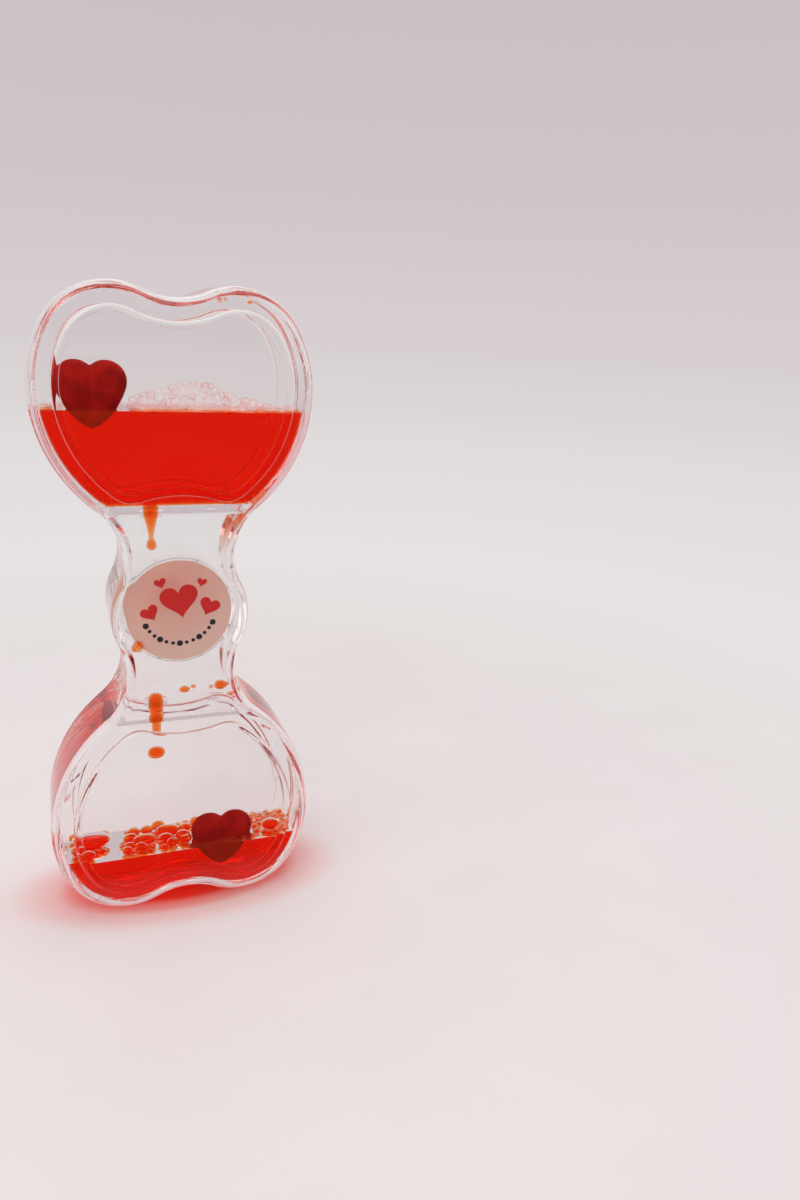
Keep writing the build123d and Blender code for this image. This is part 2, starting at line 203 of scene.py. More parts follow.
def window_circles():
    """The upper heart's raised window."""
    arch = [(x, z, r - WINDOW_INSET) for x, z, r in QUARTER[1:] + [NOTCH]
            + mirrored_x(QUARTER[1:])]
    sx, sz, side = arch[0]
    dimple_z = UPPER_FLOOR - MIDDLE + WINDOW_DIMPLE_GAP - WINDOW_DIMPLE_RADIUS
    reach_side = side - WINDOW_FOOT_RADIUS
    reach_dimple = WINDOW_DIMPLE_RADIUS + WINDOW_FOOT_RADIUS
    gap = math.hypot(sx, sz - dimple_z)
    along = (gap ** 2 + reach_side ** 2 - reach_dimple ** 2) / (2 * gap)
    off = math.sqrt(reach_side ** 2 - along ** 2)
    ux, uz = -sx / gap, (dimple_z - sz) / gap
    foot_x, foot_z = sx + along * ux - off * uz, sz + along * uz + off * ux
    return arch + [(-foot_x, foot_z, WINDOW_FOOT_RADIUS),
                   (0, dimple_z, -WINDOW_DIMPLE_RADIUS),
                   (foot_x, foot_z, WINDOW_FOOT_RADIUS)]


UPPER_WINDOW = window_circles()
LOWER_WINDOW = mirrored_z(UPPER_WINDOW)

rim_points = [Vector((x, 0, z + MIDDLE)) for x, z in outline(BODY, 0, FINE_STEP)]
rim_tree = kdtree.KDTree(len(rim_points))
for i, point in enumerate(rim_points):
    rim_tree.insert(point, i)
rim_tree.balance()


def depth_inside(x, z):
    """How far a point of the body lies inside its outline, in millimetres."""
    return rim_tree.find(Vector((x, 0, z)))[2]


# The room inside the shells
def add_ring(bm, circles, inset, y):
    return [bm.verts.new((x, y, z + MIDDLE)) for x, z in outline(circles, inset)]


def join_rings(bm, a, b):
    for i in range(len(a)):
        bm.faces.new((a[i - 1], a[i], b[i], b[i - 1]))


def ring_edges(bm, ring):
    return [bm.edges.get((ring[i - 1], ring[i])) or bm.edges.new((ring[i - 1], ring[i]))
            for i in range(len(ring))]


def rounded_rings(bm, circles, inset, radius, near, far, steps=8):
    """Rings from a side wall at y near, round the edge, to the face at far."""
    sign = 1 if far > near else -1
    rings = [add_ring(bm, circles, inset, near)]
    for k in range(steps + 1):
        a = k / steps * TURN / 4
        rings.append(add_ring(bm, circles, inset + radius * (1 - math.cos(a)),
                              far - sign * radius * (1 - math.sin(a))))
    for a, b in zip(rings, rings[1:]):
        join_rings(bm, a, b)
    return rings


def room_mesh(name, low, high):
    """What fills the cavity between two heights, a film short of its walls."""
    bm = bmesh.new()
    flat = HALF_DEPTH - WALL - LIQUID_GAP
    hollow = HALF_DEPTH + WINDOW_RISE - WALL - LIQUID_GAP
    inset = WALL + LIQUID_GAP
    middle = None
    for sign in (-1, 1):
        rings = rounded_rings(bm, BODY, inset, EDGE_RADIUS - WALL, 0, sign * flat)
        if middle:
            bmesh.ops.weld_verts(bm, targetmap=dict(zip(rings[0], middle)))
        else:
            middle = rings[0]
        edges = ring_edges(bm, rings[-1])
        for window in (UPPER_WINDOW, LOWER_WINDOW):
            inner = rounded_rings(bm, window, WINDOW_WALL + LIQUID_GAP,
                                  WINDOW_INNER_RADIUS, sign * flat, sign * hollow, 4)
            edges += ring_edges(bm, inner[0])
            bmesh.ops.triangle_fill(bm, use_beauty=True,
                                    edges=ring_edges(bm, inner[-1]))
        bmesh.ops.triangle_fill(bm, use_beauty=True, edges=edges)
    bmesh.ops.recalc_face_normals(bm, faces=bm.faces)
    for height, up in ((low, -1), (high, 1)):
        cut = bmesh.ops.bisect_plane(
            bm, geom=bm.verts[:] + bm.edges[:] + bm.faces[:],
            plane_co=(0, 0, height), plane_no=(0, 0, up), clear_outer=True)
        edges = [e for e in cut["geom_cut"] if isinstance(e, bmesh.types.BMEdge)]
        bmesh.ops.triangle_fill(bm, use_beauty=True, edges=edges)
    bmesh.ops.recalc_face_normals(bm, faces=bm.faces)
    room = piece_from(name, bm, None)
    room.hide_render = room.hide_viewport = True
    return room


# Materials
def new_material(name):
    mat = bpy.data.materials.new(name)
    mat.use_nodes = True
    tree = mat.node_tree
    tree.nodes.clear()
    return mat, tree, tree.nodes.new("ShaderNodeOutputMaterial")


def feed(tree, value, socket):
    """A value for a socket, or a link where the value is a socket too."""
    if isinstance(value, bpy.types.NodeSocket):
        tree.links.new(value, socket)
    else:
        socket.default_value = value


def add(tree, kind, settings=None, **inputs):
    """A node with its settings, and its inputs by name."""
    n = tree.nodes.new(kind)
    for key, value in (settings or {}).items():
        setattr(n, key, value)
    for key, value in inputs.items():
        feed(tree, value, n.inputs[key.replace("_", " ")])
    return n


def fed(tree, kind, settings, inputs):
    """A node with its settings, and its inputs by number."""
    n = add(tree, kind, settings)
    for number, value in inputs.items():
        feed(tree, value, n.inputs[number])
    return n


def mixed(tree, share, a, b):
    """Shader a mixed with shader b by a share of b."""
    return fed(tree, "ShaderNodeMixShader", None, {0: share, 1: a, 2: b}).outputs[0]


def mixed_colour(tree, share, a, b, blend="MIX"):
    """Colour a mixed with colour b by a share of b."""
    return fed(tree, "ShaderNodeMix", {"data_type": "RGBA", "blend_type": blend},
               {0: share, 6: a, 7: b}).outputs[2]


def maths(tree, operation, *values):
    return fed(tree, "ShaderNodeMath", {"operation": operation},
               dict(enumerate(values))).outputs[0]


def measure(tree, operation, *vectors):
    """A length or a distance of vectors."""
    return fed(tree, "ShaderNodeVectorMath", {"operation": operation},
               dict(enumerate(vectors))).outputs["Value"]


def place_of(tree):
    """The piece's own coordinates, in millimetres."""
    coordinates = add(tree, "ShaderNodeTexCoord").outputs["Object"]
    return add(tree, "ShaderNodeMapping", Vector=coordinates,
               Scale=(1 / MM,) * 3).outputs[0]


def noise_of(tree, grain, detail=3.0, rough=0.5):
    """Noise with cells of about grain millimetres."""
    return add(tree, "ShaderNodeTexNoise", Vector=place_of(tree), Scale=1 / grain,
               Detail=detail, Roughness=rough).outputs["Fac"]


def ranged(tree, value, low, high, to_low, to_high):
    return add(tree, "ShaderNodeMapRange", Value=value, From_Min=low, From_Max=high,
               To_Min=to_low, To_Max=to_high).outputs[0]


def ramp(tree, value, stops, ease="LINEAR"):
    n = add(tree, "ShaderNodeValToRGB", Fac=value)
    n.color_ramp.interpolation = ease
    for i, (place, colour) in enumerate(stops):
        stop = (n.color_ramp.elements[i] if i < 2
                else n.color_ramp.elements.new(place))
        stop.position = place
        stop.color = (*colour, 1)
    return n.outputs[0]


def bump(tree, height, distance):
    return add(tree, "ShaderNodeBump", Height=height, Distance=distance,
               Strength=1.0).outputs[0]


def see_through(tree, colour):
    return add(tree, "ShaderNodeBsdfTransparent", Color=colour).outputs[0]


def spread(tree, colour):
    """Light scattered in a colour, half of it back and half of it on."""
    back = add(tree, "ShaderNodeBsdfDiffuse", Color=colour)
    on = add(tree, "ShaderNodeBsdfTranslucent", Color=colour)
    return mixed(tree, 0.5, back.outputs[0], on.outputs[0])


def lamps_through(tree, out, surface, shade):
    """Show a surface, but let lamps shine through it in a shade."""
    path = add(tree, "ShaderNodeLightPath")
    tree.links.new(mixed(tree, path.outputs["Is Shadow Ray"], surface,
                         see_through(tree, (*shade, 1))), out.inputs[0])


PLASTIC_IOR = 1.52
OIL_IOR = 1.45
WATER_IOR = 1.34
WHEEL_IOR = 1.03               # faint, as thin clear plastic shows in oil
FILM_IOR = 1.02


def clear(name, ior, tint, wave=0.0, haze=(0.0, 0.0)):
    """Clear stuff that bends light by ior, with waves and haze."""
    mat, tree, out = new_material(name)
    rough = ranged(tree, noise_of(tree, 6.0), 0.4, 0.7, *haze)
    glass = add(tree, "ShaderNodeBsdfGlass", Color=(*tint, 1), Roughness=rough,
                IOR=ior)
    if wave:
        feed(tree, bump(tree, noise_of(tree, 9.0, 1.0), wave * MM), glass.inputs["Normal"])
    lamps_through(tree, out, glass.outputs[0], (0.96, 0.96, 0.96))
    return mat


outer_plastic = clear("clear_plastic_outside", PLASTIC_IOR, (0.99, 0.985, 0.985),
                      wave=0.02, haze=(0.0, 0.012))
inner_plastic = clear("clear_plastic_inside", PLASTIC_IOR / OIL_IOR,
                      (0.995, 0.99, 0.99), wave=0.03)
wheel_plastic = clear("wheel_plastic", WHEEL_IOR, (0.985, 0.98, 0.975))
film_plastic = clear("clear_film", FILM_IOR, (0.985, 0.965, 0.955))


def seated_plastic():
    """Two clear pieces that touch: nothing shows but a faint haze."""
    mat, tree, out = new_material("clear_plastic_seated")
    tint = ramp(tree, noise_of(tree, 3.0), [(0.35, (1, 1, 1)), (0.7, (0.985, 0.97, 0.97))])
    tree.links.new(see_through(tree, tint), out.inputs[0])
    return mat


seated = seated_plastic()


def painted_edge_plastic(name, share, colour, see):
    """Clear plastic with a share of a flat colour spread in: a painted line at an edge, a
    highlight where the colour is pale and shade where it is dark.
    """
    mat, tree, out = new_material(name)
    tree.links.new(mixed(tree, share, see_through(tree, (*see, 1)),
                         spread(tree, (*colour, 1))), out.inputs[0])
    return mat


# Painted highlight: a pale peach line on the window's step wall, for the bright line along the
# window's edge.
step_painted_highlight = painted_edge_plastic("window_step_painted_highlight", 0.42, (0.98, 0.83, 0.70), (0.97, 0.95, 0.95))
# Painted shade: a dark line on the wheel cap's rim, for the dark edge that clear plastic shows
# there.
rim_painted_shade = painted_edge_plastic("disc_edge_painted_shade", 0.30, (0.20, 0.17, 0.17), (0.72, 0.68, 0.68))


def red_water():
    """Dyed water: clear, but deep red where it is thick."""
    mat, tree, out = new_material("dyed_water")
    glass = add(tree, "ShaderNodeBsdfGlass", Color=(1, 1, 1, 1), Roughness=0.0,
                IOR=WATER_IOR / OIL_IOR)
    body = ramp(tree, noise_of(tree, 5.0), [(0.3, (0.80, 0.24, 0.03)),
                                            (0.7, (0.90, 0.31, 0.05))])
    surface = mixed(tree, 0.06, glass.outputs[0], spread(tree, body))
    lamps_through(tree, out, surface, (0.95, 0.20, 0.13))
    dye = add(tree, "ShaderNodeVolumeAbsorption", Color=(0.998, 0.52, 0.0, 1),
              Density=1400.0)
    tree.links.new(dye.outputs[0], out.inputs[1])
    return mat


dyed = red_water()


def flock():
    """Short red pile with a soft sheen."""
    mat, tree, out = new_material("red_flock")
    blotch = noise_of(tree, 4.0, 2.0)
    pile = noise_of(tree, 0.12, 4.0, 0.7)
    colour = ramp(tree, maths(tree, "MULTIPLY_ADD", pile, 0.45, blotch),
                  [(0.35, (0.13, 0.0012, 0.001)), (0.62, (0.27, 0.003, 0.0015)),
                   (0.95, (0.44, 0.008, 0.004))])
    shader = add(tree, "ShaderNodeBsdfPrincipled", Base_Color=colour, Roughness=0.85,
                 Sheen_Weight=0.12, Sheen_Roughness=0.4,
                 Sheen_Tint=(1.0, 0.10, 0.06, 1), Specular_IOR_Level=0.08,
                 Normal=bump(tree, pile, 0.06 * MM))
    tree.links.new(shader.outputs[0], out.inputs[0])
    return mat


flock_red = flock()
PRINT_SPOT = (-2.0, 5.0)       # deepest colour, across and up from the wheel's centre


def peach_print():
    """Peach print that gets paler away from a spot, lit a little from behind."""
    mat, tree, out = new_material("printed_film")
    spot = (PRINT_SPOT[0] * MM, WHEEL_FRONT * MM, (MIDDLE + PRINT_SPOT[1]) * MM)
    far = measure(tree, "DISTANCE", add(tree, "ShaderNodeTexCoord").outputs["Object"], spot)
    uneven = maths(tree, "MULTIPLY_ADD", noise_of(tree, 5.0, 1.0), 4 * MM, far)
    colour = ramp(tree, uneven, [(2 * MM, (0.82, 0.40, 0.32)), (10 * MM, (0.85, 0.56, 0.46)),
                                 (18 * MM, (0.88, 0.66, 0.56))], "EASE")
    shader = add(tree, "ShaderNodeBsdfPrincipled", Base_Color=colour, Roughness=0.45,
                 Specular_IOR_Level=0.3)
    glow = add(tree, "ShaderNodeBsdfTranslucent", Color=colour)
    tree.links.new(mixed(tree, 0.25, shader.outputs[0], glow.outputs[0]), out.inputs[0])
    return mat


def steel():
    mat, tree, out = new_material("axle_steel")
    rough = ranged(tree, noise_of(tree, 0.8), 0.3, 0.7, 0.18, 0.32)
    shader = add(tree, "ShaderNodeBsdfPrincipled", Base_Color=(0.62, 0.61, 0.60, 1),
                 Metallic=1.0, Roughness=rough)
    tree.links.new(shader.outputs[0], out.inputs[0])
    return mat


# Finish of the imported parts
def paint(node, *materials):
    """The node's mesh with these materials, in the order of their slots."""
    mesh = nodes[node].data
    mesh.materials.clear()
    for material in materials:
        mesh.materials.append(material)
    return mesh


OUTSIDE, INSIDE, SEATED, STEP = range(4)
ALONG = 0.9                    # a normal's share along an axis, where it faces it
ACROSS = 0.5                   # and where it faces away from it
BORE_SLACK = 0.1
WELD_MARGIN = 0.2
TOUCH_SLACK = 0.05
GROOVE_SLACK = 0.02
LABEL_GROWTH = 1.03
LABEL_GAP = 0.02


def plate_heights(node):
    """Heights of a partition's plate, without its nozzle."""
    low, high = (v.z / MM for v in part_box(node))
    if low > MIDDLE:
        return high - PARTITION_THICKNESS, high
    return low, low + PARTITION_THICKNESS


def plug_bore(node):
    """Middle x, radius and lowest height of a plug's hole."""
    low, high = (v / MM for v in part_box(node))
    return (low.x + high.x) / 2, (high.x - low.x) / 2, low.z


SEATS = [plate_heights(node) for node in ("upper_partition", "lower_partition")]
BORES = [plug_bore(node) for node in ("fill_plug", "vent_plug")]


def shell_surface(x, y, z, normal):
    """Which side of a shell a face with a middle in millimetres lies on."""
    y = abs(y)
    depth = depth_inside(x, z)
    for middle, radius, foot in BORES:
        if z > foot and abs(math.hypot(x - middle, y) - radius) < BORE_SLACK:
            return SEATED
    in_weld = WELD_MARGIN < depth < WALL - WELD_MARGIN
    if y < WELD_DEPTH and (in_weld or abs(normal.y) > ALONG):
        return SEATED
    if depth < EDGE_RADIUS and y > HALF_DEPTH - EDGE_RADIUS:
        from_core = math.hypot(EDGE_RADIUS - depth, y - HALF_DEPTH + EDGE_RADIUS)
        outside = from_core > EDGE_RADIUS - WALL / 2
    elif depth < EDGE_RADIUS:
        outside = depth < WALL / 2
    else:
        outside = y > HALF_DEPTH - WALL / 4
    # The window's step wall takes the painted pale line.
    if outside and depth > EDGE_RADIUS and abs(normal.y) < ACROSS:
        return STEP
    if outside:
        return OUTSIDE
    if any(low - GROOVE_SLACK < z < high + GROOVE_SLACK for low, high in SEATS):
        return SEATED
    return INSIDE


for node in ("front_shell", "rear_shell"):
    for polygon in paint(node, outer_plastic, inner_plastic, seated, step_painted_highlight).polygons:
        polygon.material_index = shell_surface(*polygon.center / MM, polygon.normal)

for node in ("upper_partition", "lower_partition"):
    for polygon in paint(node, inner_plastic, seated).polygons:
        x, y, z = polygon.center / MM
        in_groove = depth_inside(x, z) < WALL and abs(polygon.normal.z) < ACROSS
        polygon.material_index = 1 if in_groove or abs(y) > HALF_DEPTH - WALL else 0

# The cap's rim faces take the painted dark line.
for polygon in paint("wheel_cap", wheel_plastic, rim_painted_shade).polygons:
    polygon.material_index = 1 if abs(polygon.normal.y) < ACROSS else 0

for node, material, plane in (("drip_wheel", wheel_plastic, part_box("wheel_cap")[1].y),
                              ("rear_label", film_plastic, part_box("rear_label")[0].y)):
    for polygon in paint(node, material, seated).polygons:
        near = abs(polygon.center.y - plane) < TOUCH_SLACK * MM
        polygon.material_index = 1 if near and polygon.normal.y < -ALONG else 0

for node in ("fill_plug", "vent_plug"):
    for polygon in paint(node, outer_plastic, seated, inner_plastic).polygons:
        up = polygon.normal.z
        polygon.material_index = 0 if up > ACROSS else 2 if up < -ACROSS else 1

paint("wheel_axle", steel())

film_disc = link(bpy.data.objects.new("label_film", nodes["front_label"].data.copy()))
for vertex in film_disc.data.vertices:
    vertex.co.x *= LABEL_GROWTH
    vertex.co.z += (vertex.co.z - MIDDLE * MM) * (LABEL_GROWTH - 1)
    vertex.co.y = min(vertex.co.y, (WHEEL_FRONT - LABEL_GAP) * MM)
film_disc.data.materials.clear()
film_disc.data.materials.append(peach_print())
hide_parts("front_label")
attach(film_disc, "wheel")


# Floating hearts
HEART_VOXEL = 0.4
HEART_ROUNDS = 9               # of smoothing
PILE_GRAINS = (0.35, 1.6)
PILE_HEIGHT = 0.03
TIP_GROWTH = 0.25              # how much wider the tip gets, towards its end
TIP_SHARE = 0.75               # of the height, over which it does


def float_heart(node, body):
    """The float with a soft notch and a pile, from its solid's own form."""
    low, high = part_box(node)
    middle = (low.x + high.x) / 2
    tall = high.z - low.z
    heart = link(bpy.data.objects.new(node + "_flock", nodes[node].data.copy()))
    melt = heart.modifiers.new("melt", "REMESH")
    melt.mode = "VOXEL"
    melt.voxel_size = HEART_VOXEL * MM
    ease = heart.modifiers.new("ease", "SMOOTH")
    ease.factor = 0.5
    ease.iterations = HEART_ROUNDS
    applied(heart)
    for vertex in heart.data.vertices:
        fuzz = sum(noise.noise(vertex.co / (grain * MM)) for grain in PILE_GRAINS)
        vertex.co += vertex.normal * fuzz * PILE_HEIGHT * MM
        share = max(0.0, 1 - (vertex.co.z - low.z) / tall / TIP_SHARE)
        vertex.co.x += (vertex.co.x - middle) * TIP_GROWTH * share ** 3
    heart.data.materials.clear()
    heart.data.materials.append(flock_red)
    heart.data.polygons.foreach_set("use_smooth", [True] * len(heart.data.polygons))
    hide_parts(node)
    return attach(heart, body)


float_heart("upper_heart", "upper_float")
float_heart("lower_heart", "lower_float")


# Liquids
BLOCK_WIDTH, BLOCK_DEPTH = 76, 34      # past the room on all sides
BLOCK_FOOT = -25
RIPPLE = 0.12
RIPPLE_LENGTH = 5
UPPER_SWELL = 0.4              # of the surface over the solid's, up the walls
SHARP_EDGE = math.radians(32)
LATHE_CORNERS = 24


def column(name, level, low, seed):
    """Block of liquid with a hardly rippled top, wider than the room."""
    bm = bmesh.new()
    bmesh.ops.create_grid(bm, x_segments=70, y_segments=32, size=0.5)
    bmesh.ops.scale(bm, vec=(BLOCK_WIDTH, BLOCK_DEPTH, 1), verts=bm.verts)
    for vertex in bm.verts:
        x, y, _ = vertex.co
        ripple = noise.noise(Vector((x / RIPPLE_LENGTH, y / RIPPLE_LENGTH, seed)))
        vertex.co.z = level + RIPPLE * ripple
    rim = [e for e in bm.edges if e.is_boundary]
    grown = bmesh.ops.extrude_edge_only(bm, edges=rim)["geom"]
    for vertex in grown:
        if isinstance(vertex, bmesh.types.BMVert):
            vertex.co.z = low
    rim = [e for e in bm.edges if e.is_boundary]
    bmesh.ops.triangle_fill(bm, use_beauty=True, edges=rim)
    bmesh.ops.recalc_face_normals(bm, faces=bm.faces)
    return piece_from(name, bm, dyed)


def liquid(name, node, body, level, low, room, seed):
    """The part of a column of liquid that lies in a room."""
    water = column(name, level, low, seed)
    cut = water.modifiers.new("in the room", "BOOLEAN")
    cut.operation = "INTERSECT"
    cut.solver = "EXACT"
    cut.object = room
    split = water.modifiers.new("edges", "EDGE_SPLIT")
    split.split_angle = SHARP_EDGE
    even = water.modifiers.new("even", "WEIGHTED_NORMAL")
    even.keep_sharp = True
    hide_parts(node)
    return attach(water, body)


upper_room = room_mesh("upper_room", UPPER_FLOOR + LIQUID_GAP, BODY_HEIGHT)
lower_room = room_mesh("lower_room", 0, LOWER_ROOF - LIQUID_GAP)
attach(upper_room, "housing")
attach(lower_room, "housing")
liquid("upper_water", "upper_red_liquid", "upper_float", UPPER_LEVEL + UPPER_SWELL,
       MIDDLE, upper_room, 3.0)
liquid("lower_water", "lower_red_liquid", "lower_float", LOWER_LEVEL,
       BLOCK_FOOT, lower_room, 8.0)


def lathe(name, x, profile, node):
    """Smooth turned form of (height, radius) points about an upright axis."""
    bm = bmesh.new()
    angles = [TURN * k / LATHE_CORNERS for k in range(LATHE_CORNERS)]
    rings = [[bm.verts.new((x + r * math.cos(a), r * math.sin(a), z)) for a in angles]
             for z, r in profile]
    for low, high in zip(rings, rings[1:]):
        join_rings(bm, low, high)
    for ring in (rings[0], rings[-1]):
        bm.faces.new(ring)
    bmesh.ops.recalc_face_normals(bm, faces=bm.faces)
    drip = piece_from(name, bm, dyed)
    round_off = drip.modifiers.new("round", "SUBSURF")
    round_off.levels = round_off.render_levels = 2
    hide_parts(node)
    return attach(drip, "housing")


UPPER_THREAD = [
    (94.48, 1.6), (94.42, 1.78), (92.6, 1.78), (91.6, 1.70), (90.4, 1.38), (89.2, 1.08),
    (88.0, 0.82), (87.0, 0.64), (86.2, 0.58), (85.75, 0.80), (85.3, 1.08), (84.7, 1.20),
    (84.1, 1.06), (83.7, 0.68), (83.52, 0.25)]
LOWER_THREAD = [
    (50.2, 0.5), (49.95, 1.15), (49.4, 1.62), (48.6, 1.76), (46.2, 1.76), (45.0, 1.66),
    (44.4, 1.40), (43.9, 1.16), (42.6, 1.10), (41.2, 1.12), (40.5, 1.0), (40.1, 0.45)]
lathe("upper_thread", DRIP_HOLE_X, UPPER_THREAD, "upper_drip")
lathe("lower_thread", DRIP_HOLE_X, LOWER_THREAD, "lower_drip")


# Drops
chance = random.Random(7)


def ball(detail):
    """Corners and faces of a round ball of radius 1."""
    bm = bmesh.new()
    bmesh.ops.create_icosphere(bm, subdivisions=detail, radius=1)
    corners = [vertex.co.copy() for vertex in bm.verts]
    faces = [[vertex.index for vertex in face.verts] for face in bm.faces]
    bm.free()
    return corners, faces


BALLS = {detail: ball(detail) for detail in (2, 3, 4)}


def drops_piece(name, drops, material, body):
    """Drops pressed out of round, each (place, radii, detail, lean)."""
    corners, faces = [], []
    for place, radii, detail, lean in drops:
        shift = Vector([chance.uniform(-50, 50) for _ in range(3)])
        first = len(corners)
        points, sides = BALLS[detail]
        for point in points:
            push = 1 + lean * noise.noise(point * 0.9 + shift)
            corners.append([(p + c * r * push) * MM
                            for p, c, r in zip(place, point, radii)])
        faces += [[first + i for i in side] for side in sides]
    mesh = bpy.data.meshes.new(name)
    mesh.from_pydata(corners, [], faces)
    mesh.polygons.foreach_set("use_smooth", [True] * len(faces))
    mesh.materials.append(material)
    piece = link(bpy.data.objects.new(name, mesh))
    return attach(piece, body)


def inside(x, y, z, margin):
    """Whether a place is a margin clear of the chamber's walls."""
    return (depth_inside(x, z) > WALL + margin
            and abs(y) + margin < HALF_DEPTH - WALL)


def clear_of(box, x, y, z, margin):
    """Whether a place is a margin clear of a piece's box."""
    return any(p < low / MM - margin or p > high / MM + margin
               for p, low, high in zip((x, y, z), *box))


# On the lower surface: packed drops that have not run together yet
LARGE_DROPS = (((-20.6, 2.2), (4.3, 4.6, 1.5)), ((20.6, -3.4), (2.3, 2.6, 1.25)),
               ((-9.0, -2.4), (2.6, 2.2, 1.35)), ((-3.4, 2.0), (2.9, 2.3, 1.4)))
SETTLED_REACH_X, REACH_Y = 25, 8.6
SMALL_FROM_X = 13
BARE_X, BARE_HALF_WIDTH, BARE_LEAN = -15.6, 1.1, 0.12      # strip with no drops
LEVEL_FALL = 1.2               # the lower level's way down, and a margin
PACKING = 0.93                 # how close drops lie, as a share of their radii

lower_heart_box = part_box("lower_heart")
settled = [(*place, max(radii[:2]), radii) for place, radii in LARGE_DROPS]
for _ in range(5200):
    x = chance.uniform(-SETTLED_REACH_X, SETTLED_REACH_X)
    y = chance.uniform(-REACH_Y, REACH_Y)
    small = x > SMALL_FROM_X or chance.random() < 0.15
    r = chance.uniform(0.55, 0.95) if small else chance.uniform(1.25, 1.75)
    height = r * chance.uniform(0.62, 0.78)
    z = LOWER_LEVEL + 0.1 + height
    if abs(x - BARE_X - BARE_LEAN * y) < BARE_HALF_WIDTH + r:
        continue
    if not inside(x, y, z - LEVEL_FALL, r):
        continue
    if not clear_of(lower_heart_box, x, y, z, r * 0.9):
        continue
    if any(math.hypot(x - a, y - b) < PACKING * (r + c) for a, b, c, _ in settled):
        continue
    settled.append((x, y, r, (r, r, height)))
drops_piece("settled_drops", [((x, y, LOWER_LEVEL + 0.12 + radii[2] * 0.92), radii, 3, 0.08)
                              for x, y, _, radii in settled], dyed, "lower_float")

# Resting on the lower partition: place, radius and how flat
RESTING = ((1.3, 2.6, 1.30, 0.62), (3.6, 5.7, 0.72, 0.7), (7.6, 4.3, 0.62, 0.7),
           (9.6, 2.6, 1.55, 0.75), (11.0, -4.0, 0.75, 0.6))
loose = [((x, y, LOWER_TOP + 0.05 + r * flat), (r, r, r * flat), 3, 0.08)
         for x, y, r, flat in RESTING]
# Falling, on the neck's wall, and caught by the wheel
loose.append(((DRIP_HOLE_X - 0.25, 0, 35.7), (2.05, 2.0, 1.5), 4, 0.03))
loose.append(((-9.2, -4.4, 62.6), (1.25, 0.9, 1.45), 3, 0.2))
drops_piece("loose_drops", loose, dyed, "housing")
drops_piece("wheel_drop", [((-10.3, -2.6, 75.0), (0.62, 0.5, 0.95), 3, 0.15)], dyed, "wheel")

# Left under the filling hole
plug_low, plug_high = (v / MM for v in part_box("fill_plug"))
under_plug = ((plug_low.x + 0.5, 0.55), (plug_low.x + 1.7, 0.35), (plug_high.x - 0.6, 0.6))
drops_piece("plug_drops", [((x, -0.6, plug_low.z - r * 0.8), (r, r * 1.2, r * 0.75), 3, 0.2)
                           for x, r in under_plug], dyed, "housing")


# Foam on the upper surface
def film():
    """Thin film of a bubble: clear in the middle, pink to red at its edge, with a pale sheen
    painted on towards the edge.
    """
    mat, tree, out = new_material("bubble_film")
    facing = add(tree, "ShaderNodeLayerWeight", Blend=0.5).outputs["Facing"]
    strong = ranged(tree, noise_of(tree, 2.2, 1.0), 0.45, 0.60, 0.0, 1.0)
    pale = ramp(tree, facing, [(0.62, (1.0, 1.0, 1.0)), (0.84, (0.97, 0.90, 0.90)),
                               (0.97, (0.78, 0.50, 0.50))], "EASE")
    deep = ramp(tree, facing, [(0.50, (1.0, 0.98, 0.98)), (0.78, (0.95, 0.60, 0.56)),
                               (0.95, (0.72, 0.12, 0.10))], "EASE")
    see = see_through(tree, mixed_colour(tree, strong, pale, deep))
    # Painted sheen: a pale flat colour mixed in towards the edge, for the film's glints.
    shine = add(tree, "ShaderNodeBsdfDiffuse", Color=(0.95, 0.92, 0.93, 1))
    sheen = ranged(tree, facing, 0.2, 1.0, 0.02, 0.10)
    lamps_through(tree, out, mixed(tree, sheen, see, shine.outputs[0]), (0.99, 0.97, 0.97))
    return mat


HEAP = ((-11, 1.6), (-9.5, 3.0), (-6, 4.6), (-2, 5.6), (2, 6.6), (5.5, 6.7),
        (8.5, 5.6), (11, 4.2), (14, 3.6), (17, 2.9), (20, 1.8), (22, 0.9))
BUBBLE_PACKING = 0.90
FRONT_DEPTH = -2.5             # the heap lies in front of this
FOAM_REACH_X = 26
LOW_FOAM = 1.5                 # how high the thin foam beside the heap gets
BEAD_REACH_X = 26.5
BEAD_FRONT, BEAD_BACK = -8.3, -7.0


def heap_height(x):
    """Height of the foam above the surface, in millimetres."""
    for (x0, h0), (x1, h1) in zip(HEAP, HEAP[1:]):
        if x0 <= x <= x1:
            return h0 + (h1 - h0) * (x - x0) / (x1 - x0)
    return 0


bubbles = []
upper_heart_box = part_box("upper_heart")


def settle(x, y, r, top):
    """Drop a bubble onto the others, if it ends below a height."""
    z = UPPER_LEVEL + r * 0.6
    for a, b, c, t in bubbles:
        flat2 = (x - a) ** 2 + (y - b) ** 2
        reach = BUBBLE_PACKING * (r + t)
        if flat2 < reach * reach:
            z = max(z, c + math.sqrt(reach * reach - flat2))
    if (z + r < UPPER_LEVEL + top and inside(x, y, z, r * 0.9)
            and clear_of(upper_heart_box, x, y, z, r * 0.8)):
        bubbles.append((x, y, z, r))


for _ in range(2600):
    r = chance.uniform(0.55, 0.9) if chance.random() < 0.4 else chance.uniform(0.9, 1.3)
    x = chance.uniform(HEAP[0][0], HEAP[-1][0])
    settle(x, chance.uniform(-REACH_Y, FRONT_DEPTH), r, heap_height(x))
for _ in range(1500):
    settle(chance.uniform(-FOAM_REACH_X, FOAM_REACH_X), chance.uniform(-REACH_Y, REACH_Y),
           chance.uniform(0.4, 0.7), LOW_FOAM)

